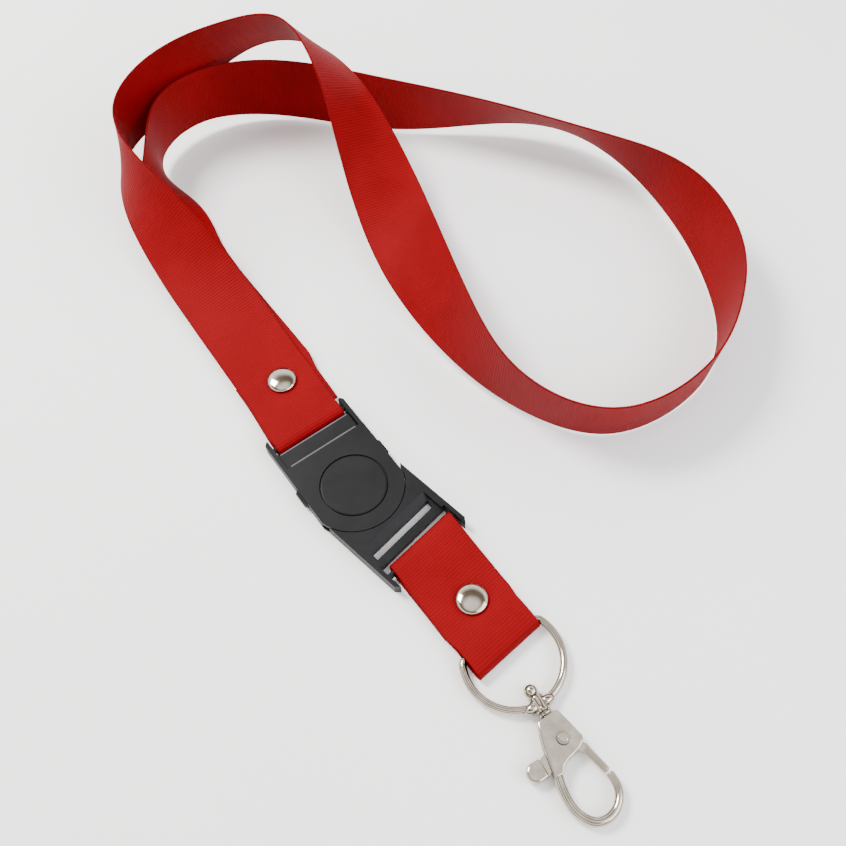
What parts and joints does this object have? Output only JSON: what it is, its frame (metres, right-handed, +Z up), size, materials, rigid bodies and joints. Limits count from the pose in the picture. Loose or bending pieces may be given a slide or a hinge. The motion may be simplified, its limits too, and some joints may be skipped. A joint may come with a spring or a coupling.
{
  "type": "lanyard",
  "caption": "Neck lanyard: a ribbon loop, a swivelling release buckle, a short doubled strap, a D-ring and a trigger snap hook.",
  "frame": {"origin": "middle of the buckle's round badge, on the flat underside the lanyard lies on", "axes": "+Z up off the surface, +Y towards the top of the neck loop, +X to the right of it"},
  "size_m": [0.2127, 0.2767, 0.0527],
  "materials": {
    "ribbon": "satin woven ribbon with fine cross ribs",
    "plastic": "fine moulded matte",
    "pad": "moulded matte",
    "nickel": "polished nickel plate",
    "steel": "spring steel, plain"
  },
  "bodies": {
    "root": {"housing_base": "plastic", "housing_top": "plastic", "badge_disc": "plastic", "left_lever_spring": "steel", "right_lever_spring": "steel", "neck_strap": "ribbon", "upper_rivet_cap": "nickel", "upper_rivet_post": "nickel"},
    "core": {"pivot_core": "plastic"},
    "male": {"male_buckle": "plastic"},
    "left_lever": {"left_release_lever": "pad"},
    "right_lever": {"right_release_lever": "pad"},
    "strap": {"short_strap": "ribbon", "lower_rivet_cap": "nickel", "lower_rivet_post": "nickel"},
    "ring": {"d_ring": "nickel"},
    "hook": {"hook_body": "nickel", "swivel_stem": "nickel", "gate_pin": "nickel", "gate_spring": "steel"},
    "gate": {"gate_lever": "nickel"}
  },
  "joints": [
    {"name": "buckle_swivel", "type": "hinge", "parent": "root", "child": "core", "pos_m": [0, 0, 0.0021], "axis": [0, 0, 1], "range_deg": [-22, 1.5]},
    {"name": "buckle_release", "type": "slide", "parent": "core", "child": "male", "axis": [0.6845, -0.729, 0], "range_m": [0, 0.024]},
    {"name": "left_release", "type": "hinge", "parent": "root", "child": "left_lever", "pos_m": [-0.01083, -0.00627, 0.0021], "axis": [0, 0, 1], "range_deg": [-4, 0], "stiffness_Nm_per_rad": 0.02},
    {"name": "right_release", "type": "hinge", "parent": "root", "child": "right_lever", "pos_m": [0.01018, 0.00728, 0.0021], "axis": [0, 0, 1], "range_deg": [0, 4], "stiffness_Nm_per_rad": 0.02},
    {"name": "short_strap_swing", "type": "hinge", "parent": "male", "child": "strap", "pos_m": [0.01965, -0.02092, 0.0023], "axis": [0.729, 0.6845, 0], "range_deg": [-80, 80]},
    {"name": "d_ring_swing", "type": "hinge", "parent": "strap", "child": "ring", "pos_m": [0.04041, -0.05104, 0.00225], "axis": [0.891, 0.454, 0], "range_deg": [-100, 100]},
    {"name": "hook_swivel", "type": "hinge", "parent": "ring", "child": "hook", "pos_m": [0.04953, -0.07004, 0.00225], "axis": [0.4787, -0.878, 0], "continuous": true},
    {"name": "gate_open", "type": "hinge", "parent": "hook", "child": "gate", "pos_m": [0.05462, -0.07979, 0.00225], "axis": [0, 0, 1], "range_deg": [-32, 0], "stiffness_Nm_per_rad": 0.02}
  ]
}
